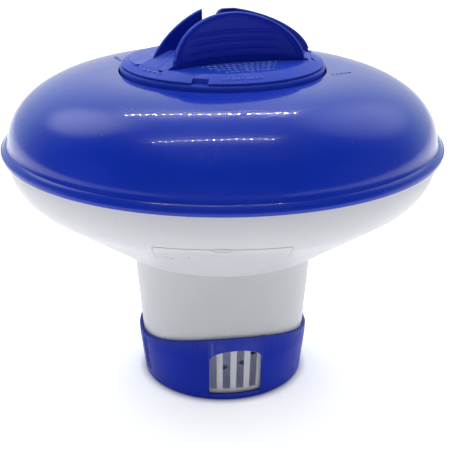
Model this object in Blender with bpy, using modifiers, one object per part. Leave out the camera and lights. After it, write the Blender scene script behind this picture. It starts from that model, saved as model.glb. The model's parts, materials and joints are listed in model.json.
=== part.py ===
"""Floating chlorine dispenser, collapsible, for one column of three-inch tablets.

Metres, +Z up. The origin is the middle of the dosing ring's foot, where the
dispenser stands. The side that faces -Y is called the front.
"""
import math

import bmesh
import bpy
from mathutils import Matrix, Vector

MM = 0.001

# Driving dimensions, in millimetres until MM is applied.
TURN_STEPS = 48            # flats round every turned piece
GAP = 0.3                  # clearance between pieces that touch

FLANGE_RADIUS = 101.6      # an eight-inch float
FLANGE_BOTTOM = 117.2
FLANGE_EDGE = 2.4          # height of the flange's upright edge
DOME_RADIUS = 98.3
DOME_FOOT = 120.3          # height where the dome stands upright
DOME_TOP = 151.3
DOME_POWER = 2.12          # 2 would be an ellipse
SHELL_WALL = 1.6

LIP_RADIUS = 47.8
LIP_ROLL = 1.0
THROAT_RADIUS = 46.8
THROAT_OUTER = 48.4
THROAT_BOTTOM = 127.3
LEDGE_TOP = 146.7
LEDGE_RADIUS = 45.2
LEDGE_HEIGHT = 1.9
TAB_RADIUS = 43.1
TAB_BOTTOM = 141.0
TAB_TOP = 143.4
TAB_SPAN = 40.0            # degrees
BAYONET_COUNT = 3

HULL_RADIUS = 98.9
HULL_CONE_SLOPE = math.radians(34.9)
HULL_SHOULDER = 25.0
SPIGOT_HEIGHT = 3.8
MOUTH_BOTTOM = 70.0
MOUTH_OUTER = 50.8
MOUTH_RADIUS = 43.8
MOUTH_FLOOR = 2.0
SOCKET_HEIGHT = 8.0

WELL_RADIUS = 46.5
WELL_WALL = 1.5

CHAMBER_FOOT_RADIUS = 37.9
CHAMBER_FOOT = 2.0
CHAMBER_TAPER = 0.08
CHAMBER_WALL = 1.2
CHAMBER_TOP = 84.0
CHAMBER_RIM_RADIUS = 46.0
FLOOR_BOTTOM = 3.1
FLOOR_TOP = 4.5
STOP_TOP = 75.0
COLLAR_RADIUS = 25.6
COLLAR_INNER = 23.6
COLLAR_LIP_RADIUS = 27.4

SLOTS_PER_WINDOW = 4
SLOT_TURN = 7.6            # degrees, how far the slots stand from the front
SLOT_PITCH = 9.6           # degrees
SLOT_WIDTH = 3.7
SLOT_BOTTOM = 5.6
SLOT_TOP = 30.4

DOSING_TURN = 9.0          # degrees, how far the windows stand from the front
RING_WALL_FOOT = 39.2
RING_BAND = 20.0           # height where the ring's lower taper ends
RING_RIM = 34.2
RING_RIM_DIP = 10.7        # how much lower the rim is at the sides
WINDOW_HALF = 12.4
WINDOW_SILL = 3.7
WINDOW_SHOULDER = 22.4
WINDOW_CROWN = 5.3

LID_TURN = 20.0            # degrees, how far the fins stand from the X axis
DECK_TOP = 156.9
DECK_RADIUS = 39.0
DECK_THICKNESS = 1.6
CREST_RADIUS = 39.5
CREST_TOP = 157.2
LID_RADIUS = 45.7
LID_EDGE_TOP = 154.5
LID_EDGE_BOTTOM = 154.0
GROOVE_RADIUS = 44.9
COLLAR_TOP = 153.5
LID_COLLAR_RADIUS = 46.4
LID_COLLAR_BOTTOM = 148.7
SKIRT_RADIUS = 42.6
SKIRT_WALL = 1.4
SKIRT_BOTTOM = 137.0
LUG_RADIUS = 44.8
LUG_BOTTOM = 137.8
LUG_TOP = 140.7
LUG_SPAN = 30.0            # degrees
REAR_DECK_DROP = 2.3       # from the rear fin back to the lid's rear edge

# The handle: two fins with a raised floor between them, nearer the lid's front.
FIN_THICKNESS = 2.0
FIN_FOOT = 157.0
FRONT_FIN_FACE = 16.0      # from the lid's axis to the front fin's front, at its middle
FRONT_FIN_BEND = 78.0      # radius of the front fin in plan, hollow to the front
REAR_FIN_FACE = 6.0        # from the lid's axis to the rear fin's front
# Each arch: where its top is, its reach to the left and to the right of there,
# the height of the top, and how full the left and the right halves are.
FRONT_ARCH = (-1.1, 28.9, 32.5, 178.8, 2.06, 1.80)
REAR_ARCH = (-8.0, 26.6, 48.1, 179.9, 1.46, 1.72)
HANDLE_FLOOR = 162.3
HANDLE_FLOOR_RADIUS = 27.8
HANDLE_WALL = 1.6
HANDLE_OPENING = 36.0      # half the length of the opening under the handle
TIE_NOTCH = (-11.6, -4.8)  # gap in the rear fin, for a tether
TIE_NOTCH_FLOOR = 167.0
TIE_NOTCH_ROUND = 3.4
TIE_NOTCH_SHOULDER = 178.7

SEAL_INNER = 45.35
SEAL_OUTER = 46.55
SEAL_BOTTOM = LEDGE_TOP + GAP
SEAL_TOP = LID_COLLAR_BOTTOM - GAP
SEAL_ROUND = 0.3

LATCH_NOTCH_WIDTH = 7.0
LATCH_NOTCH_ANGLE = -32.0  # degrees from the lid's own front
LATCH_NOTCH_DEPTH = 3.1

VENT_COUNT = 8
VENT_RADIUS = 2.5
VENT_CIRCLE = 15.0

REACH = 60.0               # longer than anything a cutter goes through


def clear_scene():
    for obj in list(bpy.data.objects):
        bpy.data.objects.remove(obj, do_unlink=True)


def new_collection(name):
    collection = bpy.data.collections.new(name)
    bpy.context.scene.collection.children.link(collection)
    return collection


def material(name, colour, roughness):
    mat = bpy.data.materials.new(name)
    mat.use_nodes = True
    shader = mat.node_tree.nodes["Principled BSDF"]
    shader.inputs["Base Color"].default_value = (*colour, 1.0)
    shader.inputs["Roughness"].default_value = roughness
    shader.inputs["Metallic"].default_value = 0.0
    return mat


def arc(centre_x, centre_z, radius, start, end, segments):
    """Points of an arc in the profile plane, angles in degrees."""
    points = []
    for index in range(segments + 1):
        angle = math.radians(start + (end - start) * index / segments)
        x = centre_x + radius * math.cos(angle)
        z = centre_z + radius * math.sin(angle)
        points.append((x, z))
    return points


def crown(inner, outer, foot, top, segments, start=0.0, end=90.0):
    """Superellipse from the inner radius at the top, out and down to the foot."""
    points = []
    for index in range(segments + 1):
        angle = math.radians(start + (end - start) * index / segments)
        r = inner + (outer - inner) * math.sin(angle) ** (2 / DOME_POWER)
        z = foot + (top - foot) * max(math.cos(angle), 0.0) ** (2 / DOME_POWER)
        points.append((r, z))
    return points


def turned(name, profile, collection, closed=True):
    """Turn a profile about Z. It runs down the piece's outer side."""
    mesh = bpy.data.meshes.new(name)
    verts = [(x * MM, 0.0, z * MM) for x, z in profile]
    edges = [(i, i + 1) for i in range(len(verts) - 1)]
    if closed:
        edges.append((len(verts) - 1, 0))
    mesh.from_pydata(verts, edges, [])
    obj = bpy.data.objects.new(name, mesh)
    collection.objects.link(obj)
    screw = obj.modifiers.new("turn", "SCREW")
    screw.axis = "Z"
    screw.angle = math.tau
    screw.steps = TURN_STEPS
    screw.render_steps = TURN_STEPS
    screw.use_merge_vertices = True
    screw.merge_threshold = 0.00001
    screw.use_normal_calculate = False
    return obj


def curve_solid(name, outlines, depth, collection):
    """Flat outlines in XY, thickened by depth about their plane, as a mesh."""
    curve = bpy.data.curves.new(name, "CURVE")
    curve.dimensions = "2D"
    curve.fill_mode = "BOTH"
    curve.extrude = depth / 2 * MM
    for outline in outlines:
        spline = curve.splines.new("POLY")
        spline.points.add(len(outline) - 1)
        for point, (x, y) in zip(spline.points, outline):
            point.co = (x * MM, y * MM, 0.0, 1.0)
        spline.use_cyclic_u = True
    source = bpy.data.objects.new(name + "_curve", curve)
    bpy.context.scene.collection.objects.link(source)
    graph = bpy.context.evaluated_depsgraph_get()
    mesh = bpy.data.meshes.new_from_object(source.evaluated_get(graph))
    bpy.data.objects.remove(source, do_unlink=True)
    mesh.name = name
    cage = bmesh.new()
    cage.from_mesh(mesh)
    bmesh.ops.remove_doubles(cage, verts=cage.verts, dist=1e-6)
    bmesh.ops.recalc_face_normals(cage, faces=cage.faces)
    cage.to_mesh(mesh)
    cage.free()
    obj = bpy.data.objects.new(name, mesh)
    collection.objects.link(obj)
    return obj


def box(name, low, high, collection):
    """A box between two corners, with its origin at the middle of the object."""
    mesh = bpy.data.meshes.new(name)
    size = [(b - a) * MM for a, b in zip(low, high)]
    middle = [(a + b) / 2 * MM for a, b in zip(low, high)]
    cage = bmesh.new()
    placed = Matrix.Translation(Vector(middle)) @ Matrix.Diagonal((*size, 1.0))
    bmesh.ops.create_cube(cage, size=1.0, matrix=placed)
    cage.to_mesh(mesh)
    cage.free()
    obj = bpy.data.objects.new(name, mesh)
    collection.objects.link(obj)
    return obj


def cylinder(name, radius, low, high, x, y, collection):
    mesh = bpy.data.meshes.new(name)
    cage = bmesh.new()
    placed = Matrix.Translation(Vector((x, y, (low + high) / 2)) * MM)
    bmesh.ops.create_cone(cage, cap_ends=True, segments=12, radius1=radius * MM,
                          radius2=radius * MM, depth=(high - low) * MM, matrix=placed)
    cage.to_mesh(mesh)
    cage.free()
    obj = bpy.data.objects.new(name, mesh)
    collection.objects.link(obj)
    return obj


def sectors(name, span, first, low, high, collection):
    """Wedges about the Z axis, one for each bayonet lug."""
    outlines = []
    for index in range(BAYONET_COUNT):
        middle = math.radians(first + 360.0 * index / BAYONET_COUNT)
        half = math.radians(span / 2)
        wedge = [(0.2 * math.cos(middle), 0.2 * math.sin(middle))]
        for side in (-half, half):
            angle = middle + side
            wedge.append((REACH * math.cos(angle), REACH * math.sin(angle)))
        outlines.append(wedge)
    obj = curve_solid(name, outlines, high - low, collection)
    obj.location.z = (low + high) / 2 * MM
    return obj


def boolean(obj, tool, operation):
    cut = obj.modifiers.new(operation.lower() + "_" + tool.name, "BOOLEAN")
    cut.operation = operation
    cut.solver = "EXACT"
    cut.object = tool


def as_cutter(obj):
    obj.hide_render = True
    obj.display_type = "WIRE"
    return obj


def finish(obj, mat):
    obj.data.materials.append(mat)


def build_upper_shell(parts, cutters, mat):
    outer = crown(LIP_RADIUS, DOME_RADIUS, DOME_FOOT, DOME_TOP, 11, end=84.0)
    flange = [
        (DOME_RADIUS + 0.3, FLANGE_BOTTOM + FLANGE_EDGE + 2.0),
        (FLANGE_RADIUS - 0.5, FLANGE_BOTTOM + FLANGE_EDGE + 0.6),
        (FLANGE_RADIUS, FLANGE_BOTTOM + FLANGE_EDGE),
        (FLANGE_RADIUS, FLANGE_BOTTOM + 0.4),
        (FLANGE_RADIUS - 0.4, FLANGE_BOTTOM),
    ]
    spigot_room = DOME_RADIUS - SHELL_WALL
    inner = crown(THROAT_OUTER, spigot_room, DOME_FOOT, DOME_TOP - SHELL_WALL, 8, start=6.0)
    inner.append((spigot_room, FLANGE_BOTTOM))
    throat = [
        (THROAT_OUTER, DOME_TOP - SHELL_WALL - 0.6),
        (THROAT_OUTER, THROAT_BOTTOM),
        (THROAT_RADIUS, THROAT_BOTTOM),
        (THROAT_RADIUS, LEDGE_TOP - LEDGE_HEIGHT),
        (LEDGE_RADIUS, LEDGE_TOP - LEDGE_HEIGHT + 0.4),
        (LEDGE_RADIUS, LEDGE_TOP),
        (THROAT_RADIUS, LEDGE_TOP),
    ]
    lip = arc(LIP_RADIUS, DOME_TOP - LIP_ROLL, LIP_ROLL, 180.0, 120.0, 2)
    profile = outer + flange + inner[::-1] + throat + lip
    shell = turned("upper_shell", profile, parts)

    tabs = turned("bayonet_tabs", [
        (TAB_RADIUS, TAB_TOP),
        (THROAT_RADIUS + 0.8, TAB_TOP),
        (THROAT_RADIUS + 0.8, TAB_BOTTOM),
        (TAB_RADIUS, TAB_BOTTOM),
    ], cutters)
    wedges = sectors("tab_wedges", TAB_SPAN, LID_TURN, TAB_BOTTOM - 1, TAB_TOP + 1, cutters)
    boolean(tabs, as_cutter(wedges), "INTERSECT")
    boolean(shell, as_cutter(tabs), "UNION")
    finish(shell, mat)
    return shell


def build_lower_hull(parts, mat):
    slope = HULL_CONE_SLOPE
    corner_z = MOUTH_BOTTOM + (HULL_RADIUS - MOUTH_OUTER) * math.tan(slope)
    tangent = HULL_SHOULDER * math.tan((math.pi / 2 - slope) / 2)
    shoulder_x = HULL_RADIUS - HULL_SHOULDER
    shoulder_z = corner_z + tangent
    lowest = math.degrees(slope) - 90.0
    outer = arc(shoulder_x, shoulder_z, HULL_SHOULDER, 0.0, lowest, 6)
    inner = arc(shoulder_x, shoulder_z, HULL_SHOULDER - SHELL_WALL, 0.0, lowest, 5)
    spigot_outer = DOME_RADIUS - SHELL_WALL - GAP
    spigot_inner = spigot_outer - SHELL_WALL
    seat = FLANGE_BOTTOM - GAP
    socket_inner = WELL_RADIUS + WELL_WALL + GAP
    socket_outer = socket_inner + WELL_WALL
    socket_foot = MOUTH_BOTTOM + MOUTH_FLOOR
    cone_foot = socket_foot + 0.6
    cone_shift = SHELL_WALL / math.cos(slope)
    cone_foot_r = MOUTH_OUTER + (cone_foot - cone_shift - MOUTH_BOTTOM) / math.tan(slope)
    profile = [
        (spigot_outer, seat + SPIGOT_HEIGHT),
        (spigot_outer, seat),
        (HULL_RADIUS, seat),
        *outer,
        (MOUTH_OUTER, MOUTH_BOTTOM),
        (MOUTH_OUTER - 1.0, MOUTH_BOTTOM - 0.3),
        (MOUTH_RADIUS + 0.4, MOUTH_BOTTOM - 0.3),
        (MOUTH_RADIUS, MOUTH_BOTTOM + 0.1),
        (MOUTH_RADIUS, socket_foot),
        (socket_inner, socket_foot),
        (socket_inner, socket_foot + SOCKET_HEIGHT),
        (socket_outer, socket_foot + SOCKET_HEIGHT),
        (socket_outer, cone_foot),
        (max(cone_foot_r, socket_outer + 0.8), cone_foot),
        *inner[::-1],
        (spigot_inner, seat + SPIGOT_HEIGHT),
    ]
    inner_top = profile[-2]
    profile[-2] = (spigot_inner, inner_top[1] - 2.0)
    hull = turned("lower_hull", profile, parts)
    finish(hull, mat)
    return hull


def build_inner_well(parts, mat):
    bottom = MOUTH_BOTTOM + MOUTH_FLOOR + GAP
    outer = WELL_RADIUS + WELL_WALL
    step = THROAT_BOTTOM - GAP
    socket_inner = THROAT_OUTER + GAP
    socket_outer = socket_inner + WELL_WALL
    well = turned("inner_well", [
        (socket_inner, step + SOCKET_HEIGHT),
        (socket_outer, step + SOCKET_HEIGHT),
        (socket_outer, step - 1.0),
        (outer, step - 3.2),
        (outer, bottom),
        (WELL_RADIUS, bottom),
        (WELL_RADIUS, step),
        (socket_inner, step),
    ], parts)
    finish(well, mat)
    return well


def chamber_radius(z):
    return CHAMBER_FOOT_RADIUS + CHAMBER_TAPER * (z - CHAMBER_FOOT)


def build_tablet_chamber(parts, cutters, mat):
    stop_bottom = MOUTH_BOTTOM + MOUTH_FLOOR + GAP + 0.1
    rim_bottom = CHAMBER_TOP - 2.0
    lip_top = FLOOR_BOTTOM - 1.8
    lip_bottom = lip_top - 0.8
    chamber = turned("tablet_chamber", [
        (0.0, FLOOR_TOP),
        (chamber_radius(FLOOR_TOP) - CHAMBER_WALL - 0.8, FLOOR_TOP),
        (chamber_radius(FLOOR_TOP) - CHAMBER_WALL, FLOOR_TOP + 0.8),
        (chamber_radius(CHAMBER_TOP) - CHAMBER_WALL, CHAMBER_TOP),
        (CHAMBER_RIM_RADIUS, CHAMBER_TOP),
        (CHAMBER_RIM_RADIUS, rim_bottom),
        (chamber_radius(rim_bottom), rim_bottom - 0.9),
        (chamber_radius(STOP_TOP), STOP_TOP + 0.9),
        (CHAMBER_RIM_RADIUS, STOP_TOP),
        (CHAMBER_RIM_RADIUS, stop_bottom),
        (chamber_radius(stop_bottom), stop_bottom),
        (chamber_radius(FLOOR_BOTTOM + 0.8), FLOOR_BOTTOM + 0.8),
        (chamber_radius(FLOOR_BOTTOM) - 0.8, FLOOR_BOTTOM),
        (COLLAR_RADIUS, FLOOR_BOTTOM),
        (COLLAR_RADIUS, lip_top),
        (COLLAR_LIP_RADIUS, lip_top),
        (COLLAR_LIP_RADIUS, lip_bottom + 0.3),
        (COLLAR_LIP_RADIUS - 0.5, lip_bottom),
        (COLLAR_INNER, lip_bottom),
        (COLLAR_INNER, FLOOR_BOTTOM),
        (0.0, FLOOR_BOTTOM),
    ], parts, closed=False)
    chamber.rotation_euler.z = math.radians(DOSING_TURN)

    for index in range(SLOTS_PER_WINDOW):
        angle = (index - (SLOTS_PER_WINDOW - 1) / 2) * SLOT_PITCH
        half = SLOT_WIDTH / 2
        slot = box(f"slot_{index}", (-half, -REACH, SLOT_BOTTOM), (half, REACH, SLOT_TOP), cutters)
        slot.rotation_euler.z = math.radians(SLOT_TURN + angle)
        boolean(chamber, as_cutter(slot), "DIFFERENCE")
    for index in range(VENT_COUNT):
        angle = math.tau * index / VENT_COUNT
        x = VENT_CIRCLE * math.cos(angle)
        y = VENT_CIRCLE * math.sin(angle)
        vent = cylinder(f"vent_{index}", VENT_RADIUS, 0.0, FLOOR_TOP + 2.0, x, y, cutters)
        boolean(chamber, as_cutter(vent), "DIFFERENCE")
    finish(chamber, mat)
    return chamber


def build_dosing_ring(parts, cutters, mat):
    running = GAP + 0.05
    floor_bottom = FLOOR_BOTTOM - 1.5
    floor_top = FLOOR_BOTTOM - GAP
    blank_top = RING_RIM + 1.0
    inner_top = chamber_radius(blank_top) + running
    inner_foot = chamber_radius(floor_top) + running
    ring = turned("dosing_ring", [
        (inner_top, blank_top),
        (inner_top + 1.0, blank_top),
        (RING_WALL_FOOT + 2.2, RING_BAND),
        (RING_WALL_FOOT, 0.9),
        (RING_WALL_FOOT - 0.3, 0.25),
        (RING_WALL_FOOT - 0.9, 0.0),
        (RING_WALL_FOOT - 3.6, 0.0),
        (RING_WALL_FOOT - 3.6, floor_bottom),
        (COLLAR_RADIUS + 0.4, floor_bottom),
        (COLLAR_RADIUS + 0.4, floor_top),
        (inner_foot, floor_top),
    ], parts)
    ring.rotation_euler.z = math.radians(DOSING_TURN)

    reach = RING_WALL_FOOT + 6.0
    segments = 14
    saddle = [(reach, RING_RIM + 12.0), (-reach, RING_RIM + 12.0)]
    for index in range(segments + 1):
        x = -reach + 2 * reach * index / segments
        saddle.append((x, RING_RIM - RING_RIM_DIP * (x / (RING_WALL_FOOT + 2.3)) ** 2))
    window = [(-WINDOW_HALF, WINDOW_SILL), (WINDOW_HALF, WINDOW_SILL)]
    for index in range(11):
        angle = math.pi * index / 10
        x = WINDOW_HALF * math.cos(angle)
        window.append((x, WINDOW_SHOULDER + WINDOW_CROWN * math.sin(angle)))
    for name, outline in (("rim_saddle", saddle), ("windows", window)):
        tool = curve_solid(name, [outline], 2 * REACH, cutters)
        tool.rotation_euler = (math.pi / 2, 0.0, math.radians(DOSING_TURN))
        boolean(ring, as_cutter(tool), "DIFFERENCE")
    finish(ring, mat)
    return ring


def fin_arch(arch):
    """Outline of a fin, seen from the lid's front."""
    apex, left, right, top, left_power, right_power = arch
    outline = []
    segments = 18
    for index in range(segments + 1):
        angle = math.pi * (1 - index / segments)
        reach = math.cos(angle)
        span, power = (left, left_power) if reach < 0 else (right, right_power)
        x = apex + span * math.copysign(abs(reach) ** (2 / power), reach)
        outline.append((x, FIN_FOOT + (top - FIN_FOOT) * math.sin(angle) ** (2 / power)))
    outline.append((apex + right, DECK_TOP - DECK_THICKNESS / 2))
    outline.append((apex - left, DECK_TOP - DECK_THICKNESS / 2))
    return outline


def front_line(behind, reach):
    """The front fin's curve from above, left to right, so far behind its front face."""
    radius = FRONT_FIN_BEND + behind
    half = math.asin(reach / radius)
    segments = 12
    line = []
    for index in range(segments + 1):
        angle = -half + 2 * half * index / segments
        y = radius * math.cos(angle) - FRONT_FIN_FACE - FRONT_FIN_BEND
        line.append((radius * math.sin(angle), y))
    return line


def rear_line(behind, reach):
    """The rear fin's straight line from above, right to left."""
    y = behind - REAR_FIN_FACE
    return [(reach, y), (-reach, y)]


def upright(name, outline, collection):
    """An outline seen from the lid's front, pushed through the whole lid."""
    tool = curve_solid(name, [outline], 2 * REACH, collection)
    tool.rotation_euler = (math.pi / 2, 0.0, math.radians(LID_TURN))
    return as_cutter(tool)


def sideways(name, outline, collection):
    """An outline seen from the lid's side, its X towards the lid's rear."""
    tool = curve_solid(name, [outline], 2 * REACH, collection)
    tool.rotation_euler = (math.pi / 2, 0.0, math.pi / 2 + math.radians(LID_TURN))
    return as_cutter(tool)


def column(name, outline, low, high, collection):
    """A plan outline of the lid, standing between two heights."""
    tool = curve_solid(name, [outline], high - low, collection)
    tool.location.z = (low + high) / 2 * MM
    tool.rotation_euler.z = math.radians(LID_TURN)
    return as_cutter(tool)


def build_fin(name, plan, arch, cutters):
    fin = column(name, plan, DECK_TOP - DECK_THICKNESS, arch[3] + 1.0, cutters)
    boolean(fin, upright(name + "_arch", fin_arch(arch), cutters), "INTERSECT")
    return fin


def build_handle_floor(cutters):
    """The raised floor between the fins, with a ramp down to the crest at both ends."""
    end = CREST_RADIUS + 0.7
    end_top = CREST_TOP - 0.4
    floor = turned("handle_floor", [
        (0.0, HANDLE_FLOOR),
        (HANDLE_FLOOR_RADIUS, HANDLE_FLOOR),
        (end, end_top),
        (end, end_top - HANDLE_WALL),
        (HANDLE_FLOOR_RADIUS - 0.4, HANDLE_FLOOR - HANDLE_WALL),
        (0.0, HANDLE_FLOOR - HANDLE_WALL),
    ], cutters, closed=False)
    floor.rotation_euler.z = math.radians(LID_TURN)
    middle = FIN_THICKNESS / 2
    plan = front_line(middle, LID_RADIUS) + rear_line(middle, LID_RADIUS)
    low = DECK_TOP - DECK_THICKNESS
    boolean(floor, column("handle_plan", plan, low, HANDLE_FLOOR + 1.0, cutters), "INTERSECT")
    return as_cutter(floor)


def slope_rear_deck(lid, cutters):
    """Lower the deck behind the rear fin to a plane that meets the rear edge."""
    start = FIN_THICKNESS / 2 - REAR_FIN_FACE
    fall = REAR_DECK_DROP / (LID_RADIUS - start)
    end = start + REACH
    end_top = DECK_TOP - fall * REACH
    plate = sideways("rear_deck", [
        (start, DECK_TOP),
        (end, end_top),
        (end, end_top - DECK_THICKNESS),
        (start, DECK_TOP - DECK_THICKNESS),
    ], cutters)
    disc = turned("rear_deck_disc", [
        (0.0, CREST_TOP),
        (SKIRT_RADIUS - 0.6, CREST_TOP),
        (SKIRT_RADIUS - 0.6, SKIRT_BOTTOM),
        (0.0, SKIRT_BOTTOM),
    ], cutters, closed=False)
    disc.rotation_euler.z = math.radians(LID_TURN + 180.0 / TURN_STEPS)
    boolean(plate, as_cutter(disc), "INTERSECT")
    boolean(lid, plate, "UNION")
    above = sideways("above_rear_deck", [
        (start, CREST_TOP + 5.0),
        (end, CREST_TOP + 5.0),
        (end, end_top),
        (start, DECK_TOP),
    ], cutters)
    boolean(lid, above, "DIFFERENCE")


def cut_tie_notch(lid, cutters):
    left, right = TIE_NOTCH
    top = REAR_ARCH[3] + 5.0
    shoulder = arc(right + TIE_NOTCH_ROUND, TIE_NOTCH_SHOULDER - TIE_NOTCH_ROUND,
                   TIE_NOTCH_ROUND, 180.0, 90.0, 5)
    outline = [
        (left, top),
        (left, TIE_NOTCH_FLOOR),
        (right, TIE_NOTCH_FLOOR),
        *shoulder,
        (right + 4 * TIE_NOTCH_ROUND, TIE_NOTCH_SHOULDER),
        (right + 4 * TIE_NOTCH_ROUND, top),
    ]
    tie = curve_solid("tie_notch", [outline], REACH, cutters)
    tie.rotation_euler = (math.pi / 2, 0.0, math.radians(LID_TURN))
    middle = REACH / 2 - REAR_FIN_FACE - 2.0
    turn = math.radians(LID_TURN)
    tie.location = (-middle * math.sin(turn) * MM, middle * math.cos(turn) * MM, 0.0)
    boolean(lid, as_cutter(tie), "DIFFERENCE")


def build_lid(parts, cutters, mat):
    skirt_inner = SKIRT_RADIUS - SKIRT_WALL
    lid = turned("lid", [
        (0.0, DECK_TOP),
        (DECK_RADIUS, DECK_TOP),
        (CREST_RADIUS, CREST_TOP),
        (LID_RADIUS - 0.2, LID_EDGE_TOP + 0.1),
        (LID_RADIUS, LID_EDGE_TOP - 0.1),
        (LID_RADIUS, LID_EDGE_BOTTOM),
        (GROOVE_RADIUS, LID_EDGE_BOTTOM),
        (GROOVE_RADIUS, COLLAR_TOP),
        (LID_COLLAR_RADIUS - 0.3, COLLAR_TOP),
        (LID_COLLAR_RADIUS, COLLAR_TOP - 0.3),
        (LID_COLLAR_RADIUS, LID_COLLAR_BOTTOM),
        (SKIRT_RADIUS, LID_COLLAR_BOTTOM),
        (SKIRT_RADIUS, SKIRT_BOTTOM),
        (skirt_inner, SKIRT_BOTTOM),
        (skirt_inner, COLLAR_TOP - 1.0),
        (CREST_RADIUS - 0.8, DECK_TOP - DECK_THICKNESS),
        (0.0, DECK_TOP - DECK_THICKNESS),
    ], parts, closed=False)
    lid.rotation_euler.z = math.radians(LID_TURN)
    slope_rear_deck(lid, cutters)

    lugs = turned("bayonet_lugs", [
        (SKIRT_RADIUS - 0.7, LUG_TOP),
        (LUG_RADIUS, LUG_TOP),
        (LUG_RADIUS, LUG_BOTTOM),
        (SKIRT_RADIUS - 0.7, LUG_BOTTOM),
    ], cutters)
    lugs.rotation_euler.z = math.radians(LID_TURN)
    first_lug = LID_TURN + 180.0 / BAYONET_COUNT
    wedges = sectors("lug_wedges", LUG_SPAN, first_lug, LUG_BOTTOM - 1, LUG_TOP + 1, cutters)
    boolean(lugs, as_cutter(wedges), "INTERSECT")
    boolean(lid, as_cutter(lugs), "UNION")

    inside = FIN_THICKNESS + 0.4
    opening = front_line(inside, HANDLE_OPENING) + rear_line(-0.4, HANDLE_OPENING)
    low = DECK_TOP - 2 * DECK_THICKNESS
    boolean(lid, column("handle_opening", opening, low, HANDLE_FLOOR, cutters), "DIFFERENCE")
    boolean(lid, build_handle_floor(cutters), "UNION")
    reach = REACH * 0.85
    front_plan = front_line(0.0, reach) + front_line(FIN_THICKNESS, reach)[::-1]
    rear_plan = rear_line(0.0, reach) + rear_line(FIN_THICKNESS, reach)[::-1]
    boolean(lid, build_fin("front_fin", front_plan, FRONT_ARCH, cutters), "UNION")
    boolean(lid, build_fin("rear_fin", rear_plan, REAR_ARCH, cutters), "UNION")
    cut_tie_notch(lid, cutters)

    half = LATCH_NOTCH_WIDTH / 2
    latch_low = (-half, -LID_RADIUS - 2.0, LID_EDGE_BOTTOM - 0.25)
    latch_high = (half, -LID_RADIUS + LATCH_NOTCH_DEPTH, CREST_TOP)
    latch = box("latch_notch", latch_low, latch_high, cutters)
    latch.rotation_euler.z = math.radians(LID_TURN + LATCH_NOTCH_ANGLE)
    boolean(lid, as_cutter(latch), "DIFFERENCE")
    finish(lid, mat)
    return lid


def build_lid_seal(parts, mat):
    middle_r = (SEAL_INNER + SEAL_OUTER) / 2
    seal = turned("lid_seal", [
        (middle_r, SEAL_TOP),
        (SEAL_OUTER - SEAL_ROUND, SEAL_TOP),
        (SEAL_OUTER, SEAL_TOP - SEAL_ROUND),
        (SEAL_OUTER, SEAL_BOTTOM + SEAL_ROUND),
        (SEAL_OUTER - SEAL_ROUND, SEAL_BOTTOM),
        (SEAL_INNER + SEAL_ROUND, SEAL_BOTTOM),
        (SEAL_INNER, SEAL_BOTTOM + SEAL_ROUND),
        (SEAL_INNER, SEAL_TOP - SEAL_ROUND),
    ], parts)
    finish(seal, mat)
    return seal


def main():
    clear_scene()
    parts = new_collection("floating_chlorine_dispenser")
    cutters = new_collection("cutters")
    blue_gloss = material("blue_gloss", (0.012, 0.050, 0.420), 0.12)
    blue_satin = material("blue_satin", (0.010, 0.030, 0.300), 0.32)
    white_satin = material("white_satin", (0.78, 0.78, 0.80), 0.35)
    white_well = material("white_well", (0.70, 0.71, 0.74), 0.40)
    blue_lid = material("blue_lid", (0.010, 0.035, 0.360), 0.28)
    seal_rubber = material("seal_rubber", (0.03, 0.03, 0.035), 0.60)
    white_chamber = material("white_chamber", (0.74, 0.75, 0.78), 0.42)

    build_upper_shell(parts, cutters, blue_gloss)
    build_lower_hull(parts, white_satin)
    build_inner_well(parts, white_well)
    build_tablet_chamber(parts, cutters, white_chamber)
    build_dosing_ring(parts, cutters, blue_satin)
    build_lid(parts, cutters, blue_lid)
    build_lid_seal(parts, seal_rubber)

    for obj in parts.objects:
        obj.data.shade_smooth()
        obj.data.set_sharp_from_angle(angle=math.radians(35))


main()
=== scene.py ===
"""The looks of the floating chlorine dispenser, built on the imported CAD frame."""
import json
import math

import bmesh
import bpy
from mathutils import Matrix, Vector

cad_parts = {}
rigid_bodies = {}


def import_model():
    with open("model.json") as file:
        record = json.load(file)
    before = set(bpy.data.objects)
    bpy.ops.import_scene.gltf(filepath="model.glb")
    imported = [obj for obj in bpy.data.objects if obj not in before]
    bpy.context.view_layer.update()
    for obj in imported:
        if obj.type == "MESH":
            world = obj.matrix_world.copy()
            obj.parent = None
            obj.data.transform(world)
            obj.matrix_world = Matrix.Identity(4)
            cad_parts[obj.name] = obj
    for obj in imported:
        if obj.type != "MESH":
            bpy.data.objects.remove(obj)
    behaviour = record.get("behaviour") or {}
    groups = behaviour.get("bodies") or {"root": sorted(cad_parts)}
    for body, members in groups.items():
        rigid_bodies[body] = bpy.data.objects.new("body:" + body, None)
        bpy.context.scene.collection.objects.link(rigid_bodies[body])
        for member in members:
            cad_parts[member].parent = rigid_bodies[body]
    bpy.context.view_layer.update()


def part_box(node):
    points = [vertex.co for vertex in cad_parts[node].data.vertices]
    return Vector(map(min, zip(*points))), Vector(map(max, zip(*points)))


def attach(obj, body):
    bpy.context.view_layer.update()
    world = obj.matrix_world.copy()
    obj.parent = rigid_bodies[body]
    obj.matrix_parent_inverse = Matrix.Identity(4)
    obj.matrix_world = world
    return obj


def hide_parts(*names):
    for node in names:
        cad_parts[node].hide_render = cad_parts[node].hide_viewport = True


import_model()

MM = 0.001

# Places taken from the frame, in millimetres.


def span(node):
    low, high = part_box(node)
    return [v / MM for v in low], [v / MM for v in high]


SHELL_HIGH = span("upper_shell")[1]
HULL_LOW, HULL_HIGH = span("lower_hull")
WELL_LOW, WELL_HIGH = span("inner_well")
CHAMBER_LOW, CHAMBER_HIGH = span("tablet_chamber")
RING_HIGH = span("dosing_ring")[1]
LID_LOW, LID_HIGH = span("lid")
SEAL_LOW, SEAL_HIGH = span("lid_seal")

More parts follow.
